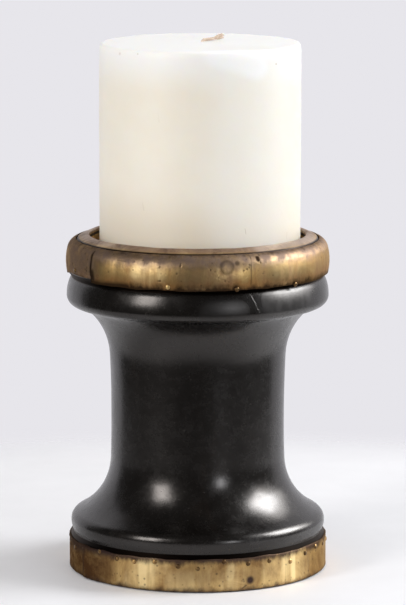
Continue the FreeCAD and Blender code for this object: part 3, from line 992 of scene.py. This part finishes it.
def foot_brass():
    """The flat strip round the foot, with a ragged upper edge, lapped at the viewer's left."""
    outline = [
        (48.52, 0.5),
        ("line", 48.9, 0.5),
        ("line", 49.0, 0.65),
        ("line", 49.0, 12.95, 0.8),
        ("line", 48.88, FOOT_TOP),
        ("line", 48.45, FOOT_TOP),
        ("line", 48.4, 13.0),
        ("line", 48.4, 1.7, 1.6),
        ("line", 48.4, 0.7),
        ("line", 48.52, 0.5),
    ]
    band = wrap_band("foot_brass", outline, hidden_end=-146.52, lap=3.98)
    group_where(
        band,
        "hammered",
        lambda r, z, angle: 1 if r > 48.95 and 1 < z < 12.5 else 0,
    )
    uneven(band, "hammered", grain=9, depth=0.06)
    group_where(band, "upper_edge", lambda r, z, angle: max(0, 1 - (FOOT_TOP - z) / 3.5))
    uneven(band, "upper_edge", grain=10, depth=1.1, direction="Z", middle=0.9)
    spots = [
        (at(-66.5, 49.0, 4.1), None, 2.1, 1.0),
        (at(-151.2, 49.4, 13.0), at(-151.2, 49.4, 0.5), 1.5, 1.0),
        # Painted shade along the upper edge, where the band meets the wood
        (at(-185, 49, 12.5), at(-152, 49.4, 13.2), 6.0, 1.0),
        (at(-155, 49, 13.5), at(-132, 49, 14.0), 4.6, 1.0),
        (at(-132, 49, 14.0), at(-100, 49, 14.0), 3.2, 1.0),
        (at(-70.5, 49, 1.0), at(-68.5, 49, 2.2), 0.5, 0.7),
    ]
    # Painted shade: darker metal at the far left and in the middle, where the lamps would shine
    tarnish_and_shade_spots = [
        (at(-176, 48, 6), at(-146, 48, 6), 17.0, 1.0),
        (at(-97, 49, 9), at(-80, 49, 9), 7.0, 0.35),
        (at(-66, 49, 5), at(-64, 49, 8), 6.0, 0.35),
        (at(-32, 49, 5), at(15, 49, 6), 9.0, 0.55),
    ]
    # Painted highlights, laid on as paler metal
    painted_highlight_spots = [
        (at(-116, 49, 2), at(-112, 49, 10), 9.0, 0.8),
        (at(-100, 49, 4), at(-68, 49, 5), 6.0, 0.35),
        (at(-76, 49, 6), at(-75, 49, 9), 3.0, 0.6),
        (at(-53, 49, 6), at(-40, 49, 7), 10.0, 0.85),
    ]
    finish = band_brass(
        "foot_band_brass",
        low=0.3,
        high=11.9,
        spots=spots,
        tarnish_and_shade_spots=tarnish_and_shade_spots,
        painted_highlight_spots=painted_highlight_spots,
        tarnish_and_shade_tint=(0.095, 0.045, 0.019),
        grime_and_shade=(0.048, 0.030, 0.026),
        streaked=0.32,
    )
    smooth_and_dress(
        band, finish, body="holder", stands_for="foot_band", crease=50
    )


def one_nail():
    """One domed nail, driven along -Z, with its head on the plane z = 0."""
    shank, head = 0.45, 0.95
    select_nothing()
    bpy.ops.mesh.primitive_circle_add(
        vertices=14, radius=shank * MM, location=(0, 0, 0)
    )
    nail = bpy.context.object
    nail.name = nail.data.name = "nail"
    bpy.ops.object.mode_set(mode="EDIT")
    bpy.ops.mesh.select_all(action="SELECT")

    def draw_on(*rings):
        """Adds rings, each a rise in mm and a growth, and ends them in a point."""
        for rise, growth in rings:
            bpy.ops.mesh.extrude_region_move(
                TRANSFORM_OT_translate={"value": (0, 0, rise * MM)}
            )
            bpy.ops.transform.resize(value=[growth] * 3)
        bpy.ops.mesh.merge(type="CENTER")

    draw_on((0, head / shank), (0.12, 1), (0.2, 0.86), (0.13, 0.66), (0.05, 0.35))
    bpy.ops.mesh.select_all(action="DESELECT")
    bpy.ops.object.mode_set(mode="OBJECT")
    for point in nail.data.vertices:
        x, y, z = point.co
        point.select = z < 1e-7 and math.hypot(x, y) < (shank + 0.05) * MM
    bpy.ops.object.mode_set(mode="EDIT")
    bpy.ops.mesh.select_mode(type="VERT")
    draw_on((-5.2, 1), (-2.6, 0.35))
    close_skin()
    return nail


def nail_row(name, seat, places, seed, stands_for):
    """Copies the nail to each place (angle, height), slightly crooked, and joins the row."""
    nail = one_nail()
    chance = random.Random(seed)
    copies = []
    for angle, height in places:
        copy = nail.copy()
        copy.data = nail.data.copy()
        bpy.context.collection.objects.link(copy)
        lean = [chance.uniform(-4, 4) for _ in range(2)]
        copy.location = at(angle, seat + chance.uniform(-0.12, 0.02), height)
        copy.rotation_euler = (
            math.radians(lean[0]),
            math.radians(90 + lean[1]),
            math.radians(angle),
        )
        copy.scale = [chance.uniform(0.92, 1.04)] * 3
        copies.append(copy)
    bpy.data.objects.remove(nail)
    row = join_up(copies, name)
    smooth_and_dress(
        row,
        nail_finish,
        body="holder",
        stands_for=stands_for,
        crease=55,
    )


def rim_nails():
    """The nails under the rim: three where the photograph shows them, the rest guessed."""
    seen = [(-102.7, 114.9), (-73.2, 113.9), (-43.4, 113.6)]
    chance = random.Random(4)
    # The others go on round the back, about 21.8 degrees apart, and one holds the short tail
    hidden = [
        (-8 + 21.8 * k + chance.uniform(-2, 2), 114.8 + chance.uniform(-0.5, 0.5))
        for k in range(1, 9)
    ]
    hidden.append((-157, 116.6))
    nail_row(
        "rim_nails",
        seat=49.75,
        places=seen + hidden,
        seed=11,
        stands_for="rim_band_nails",
    )


def foot_nails():
    """The nails of the foot band: ten as in the photograph, the rest guessed."""
    seen = [
        (-138.5, 12.1),
        (-128, 10.8),
        (-119, 10.7),
        (-109, 11.4),
        (-98.5, 10.1),
        (-90, 9.3),
        (-78.5, 11.8),
        (-67.5, 10.4),
        (-57, 10.5),
        (-45, 8.8),
    ]
    chance = random.Random(9)
    # The others go on round the back, about 10.6 degrees apart
    hidden = [
        (
            seen[-1][0] + 10.6 * k + chance.uniform(-1.6, 1.6),
            10.7 + chance.uniform(-1.0, 0.9),
        )
        for k in range(1, 25)
    ]
    nail_row(
        "foot_nails",
        seat=48.98,
        places=seen + hidden,
        seed=12,
        stands_for="foot_band_nails",
    )


def candle_cup():
    """The pressed cup that lines the recess, with its lip down to the rim band."""
    outline = [
        (2.05, 117.34),
        ("line", 4.25, 119.54),
        ("line", 39.7, 119.54, 6),
        ("round", 41.5, 121.34, 1.8),
        ("line", 41.5, 127.629, 2),
        ("line", 45.35, 125.95, 1),
        ("line", 45.45, 126.2),
        ("line", 45.3, 126.5),
        ("line", 44.9, 126.75),
        ("line", 41.7, 128.14, 0.9),
        ("round", 40.9, 127.34, 0.8),
        ("line", 40.9, 121.34, 1.5),
        ("hollow", 39.7, 120.14, 1.2),
        ("line", 4.25, 120.14, 6),
        ("line", 2.05, 117.94),
        ("line", 2.05, 117.34),
    ]
    cup = turn_piece("lined_cup", outline)
    group_where(
        cup,
        "lip",
        lambda r, z, angle: 0.4 + 0.6 * (z > 126.5) if r > 40.8 and z > 124 else 0,
    )
    uneven(cup, "lip", grain=12, depth=0.30, direction="Z", middle=0.9)
    smooth_and_dress(
        cup,
        cup_brass(),
        body="holder",
        stands_for="candle_cup",
        crease=45,
    )


def felt_pad():
    """The pad let into the foot, a pressed disc with a soft, slightly uneven edge."""
    outline = [
        (0, 0.05),
        ("line", 41.2, 0.05, 3),
        ("line", 41.75, 0.2),
        ("line", 41.95, 0.6),
        ("line", 41.95, 1.55),
        ("line", 0, 1.6, 5),
    ]
    pad = turn_piece("felt_pad", outline, steps=160)
    group_where(
        pad, "pressed", lambda r, z, angle: 1 if z < 0.3 and r > 5 else 0
    )
    uneven(pad, "pressed", grain=6, depth=0.25)
    smooth_and_dress(
        pad,
        dark_felt(),
        body="holder",
        stands_for="base_felt",
        crease=60,
    )


def pillar_candle():
    """The pillar: cast wax with a soft top edge and a hole for its wick."""
    outline = [
        (0, 120.24),
        ("line", 36.9, 120.24, 6),
        ("round", 38.1, 121.44, 1.2),
        ("line", 38.1, 196.19, 2.5),
        ("round", 37.75, 199.285, 13.87),
        ("round", 36.3, CANDLE_TOP, 1.488),
        ("line", 1.6, CANDLE_TOP, 3),
        ("line", 0.85, 200.1),
        ("line", 0.85, 194, 2),
        ("line", 0, 194),
    ]
    candle = turn_piece("pillar_candle", outline, steps=192)
    take_up(candle)
    bpy.ops.object.mode_set(mode="EDIT")
    bpy.ops.mesh.select_all(action="SELECT")
    bpy.ops.transform.translate(value=(CANDLE_SHIFT * MM, 0, 0))
    bpy.ops.object.mode_set(mode="OBJECT")
    group_where(
        candle,
        "cast_wall",
        lambda r, z, angle: 1 if r > 30 and z > 126 else 0,
    )
    uneven(candle, "cast_wall", grain=30, depth=0.35)
    group_where(
        candle,
        "top_edge",
        lambda r, z, angle: max(0, 1 - (CANDLE_TOP - z) / 3) * (r > 12),
    )
    uneven(candle, "top_edge", grain=14, depth=0.35, direction="Z")
    smooth_and_dress(
        candle,
        ivory_wax(),
        body="candle",
        stands_for="candle_wax",
        crease=50,
    )


def strand(name, places, thickness):
    """A round strand along a smooth curve through its places, as a closed mesh."""
    select_nothing()
    bpy.ops.curve.primitive_nurbs_path_add(location=(0, 0, 0))
    line = bpy.context.object
    line.name = name
    curve = line.data
    curve.splines.clear()
    spline = curve.splines.new("NURBS")
    spline.points.add(len(places) - 1)
    for point, place in zip(spline.points, places):
        point.co = (*place, 1)
    spline.order_u = 3
    spline.use_endpoint_u = True
    spline.resolution_u = 3
    curve.bevel_depth = thickness / 2
    curve.bevel_resolution = 2
    curve.use_fill_caps = True
    bpy.ops.object.convert(target="MESH")
    return bpy.context.object


def cotton_wick():
    """Three strands twisted together, bent over on the wax, with a frayed tip."""
    turn = math.radians(12)
    run = Vector((math.cos(turn), math.sin(turn), 0))
    line = [
        Vector((CANDLE_SHIFT, 0, 0)) + run * out + Vector((0, 0, height))
        for out, height in (
            (0, 195.5),
            (0.2, 199.4),
            (1.4, 200.95),
            (3.2, 201.15),
            (4.9, 201.3),
            (6.4, 201.65),
            (7.6, 202.0),
            (8.7, 202.35),
        )
    ]
    steps = 44
    turns = 5
    tight, spread, frayed_from = 0.24, 0.46, 0.64
    middle = []
    for k in range(steps + 1):
        place = k / steps * (len(line) - 1)
        i = min(int(place), len(line) - 2)
        middle.append(line[i].lerp(line[i + 1], place - i))
    strands = []
    for part in range(3):
        places = []
        for k, centre in enumerate(middle):
            ahead = middle[min(k + 1, steps)] - middle[max(k - 1, 0)]
            ahead.normalize()
            side = ahead.cross(run.cross(Vector((0, 0, 1)))).normalized()
            across = ahead.cross(side)
            twist = 2 * math.pi * (part / 3 + k / steps * turns)
            loose = tight + spread * min(1, max(0, k / steps - frayed_from) / 0.12)
            places.append(
                (centre + (side * math.cos(twist) + across * math.sin(twist)) * loose)
                * MM
            )
        strands.append(strand(f"strand_{part}", places, 0.72 * MM))
    chance = random.Random(21)
    tip = middle[-1]
    for k in range(16):
        way = Vector(
            (
                run.x + chance.uniform(-0.9, 0.7),
                run.y + chance.uniform(-0.8, 0.8),
                chance.uniform(-0.35, 0.75),
            )
        ).normalized()
        root = tip - run * 0.5 + Vector([chance.uniform(-0.35, 0.35) for _ in range(3)])
        length = chance.uniform(0.5, 0.95)
        curl = Vector([chance.uniform(-0.25, 0.25) for _ in range(3)])
        strands.append(
            strand(
                f"fibre_{k}",
                [
                    root * MM,
                    (root + way * length * 0.5 + curl * 0.4) * MM,
                    (root + way * length + curl) * MM,
                ],
                0.16 * MM,
            )
        )
    wick = join_up(strands, "cotton_wick")
    smooth_and_dress(
        wick,
        wick_cotton(),
        body="candle",
        stands_for="candle_wick",
        crease=70,
    )


# ---------------------------------------------------------------- room


def table_and_wall():
    """The table top, and a pale wall all round that looks brighter than the light it gives."""
    select_nothing()
    bpy.ops.mesh.primitive_circle_add(
        vertices=96, radius=TABLE_RADIUS, fill_type="TRIFAN", location=(0, 0, 0)
    )
    table = bpy.context.object
    table.name = "table"
    table.data.materials.append(pale_table())
    world = bpy.data.worlds.new("wall")
    bpy.context.scene.world = world
    world.use_nodes = True
    tree = world.node_tree
    tree.nodes.clear()
    path = put(tree, "ShaderNodeLightPath")
    seen = most(
        tree,
        path.outputs["Is Camera Ray"],
        path.outputs["Is Glossy Ray"],
        path.outputs["Is Transmission Ray"],
    )
    tint = laid_over(tree, seen, WALL_LIGHT, WALL_COLOUR)
    glow = put(tree, "ShaderNodeBackground", tint, 1.0)
    put(tree, "ShaderNodeOutputWorld", glow.outputs[0])


def dark_room():
    """The unlit part of the room, which only shows in the lacquer: in front and overhead."""
    select_nothing()
    bpy.ops.mesh.primitive_uv_sphere_add(
        segments=48, ring_count=24, radius=ROOM_RADIUS, location=AIM
    )
    room = bpy.context.object
    room.name = "dark_room"
    bpy.ops.object.transform_apply(location=True, rotation=True, scale=True)
    for face in room.data.polygons:
        x, y, z = face.center - AIM
        across = math.degrees(math.atan2(x, -y))
        up = math.degrees(math.asin(z / ROOM_RADIUS))
        face.select = up < -70 or (up < 48 and not -118 < across < 115)
    for edge in room.data.edges:
        edge.select = False
    for point in room.data.vertices:
        point.select = False
    bpy.ops.object.mode_set(mode="EDIT")
    bpy.ops.mesh.select_mode(type="FACE")
    bpy.ops.mesh.delete(type="FACE")
    bpy.ops.object.mode_set(mode="OBJECT")
    room.data.materials.append(dark_surround())
    for kind in ("camera", "diffuse", "transmission", "shadow", "volume_scatter"):
        setattr(room, f"visible_{kind}", False)


def lamp(name, across, up, far, width, height, radiance, colour, diffuse=1, glossy=1):
    """A flat lamp aimed at the holder, from an angle across (right +) and up."""
    select_nothing()
    turn, tilt = math.radians(across), math.radians(up)
    place = AIM + far * Vector(
        (
            math.sin(turn) * math.cos(tilt),
            -math.cos(turn) * math.cos(tilt),
            math.sin(tilt),
        )
    )
    bpy.ops.object.light_add(type="AREA", location=place)
    made = bpy.context.object
    made.name = made.data.name = name
    made.data.shape = "RECTANGLE"
    made.data.size = width
    made.data.size_y = height
    made.data.energy = 4 * width * height * radiance
    made.data.color = colour
    made.rotation_euler = (AIM - place).to_track_quat("-Z", "Y").to_euler()
    made.visible_camera = False
    made.visible_diffuse = bool(diffuse)
    made.visible_glossy = bool(glossy)


def lamps():
    """Each lamp's angles across and up, distance, width, height, radiance and colour."""
    lamp("left_window", -47, 22, 1.0, 0.28, 0.46, 8.6, (1, 0.98, 0.97))
    lamp("left_sheen", -47, 22, 0.98, 0.28, 0.46, 2.4, (1, 0.96, 0.93), diffuse=0)
    lamp("right_window", 95, 31, 1.0, 0.5, 0.4, 10.4, (0.94, 0.965, 1))
    lamp("right_sheen", 95, 30, 0.98, 0.6, 0.38, 7.4, (0.94, 0.98, 1), diffuse=0)
    lamp("right_glow", 99, 30, 1.2, 1.15, 0.75, 4.0, (1, 0.98, 0.96), diffuse=0)
    lamp("middle_glint", 30, 6, 1.0, 0.15, 0.28, 9.0, (0.9, 0.94, 1), diffuse=0)
    lamp("middle_fill", 34, 11, 1.0, 0.32, 0.24, 2.9, (0.95, 0.97, 1), glossy=0)
    lamp("ceiling", 0, 86, 1.2, 1.0, 1.0, 0.42, (1, 1, 1), glossy=0)


def camera():
    """The camera where the photograph's stood, as fitted to the circles that it shows."""
    place = Vector((0, -1.414, 0.334))
    select_nothing()
    bpy.ops.object.camera_add(location=place)
    made = bpy.context.object
    made.rotation_euler = (AIM - place).to_track_quat("-Z", "Y").to_euler()
    made.data.lens = 225
    made.data.sensor_width = 36
    made.data.shift_x = 0.0088
    made.data.shift_y = 0.0052
    bpy.context.scene.camera = made


# ---------------------------------------------------------------- making

nail_finish = nail_brass()
turned_wood()
rim_brass()
foot_brass()
rim_nails()
foot_nails()
candle_cup()
felt_pad()
pillar_candle()
cotton_wick()
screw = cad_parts["cup_screw"]
screw.data.materials.clear()
screw.data.materials.append(nail_finish)

table_and_wall()
dark_room()
lamps()
camera()
bpy.context.scene.view_settings.view_transform = "Standard"
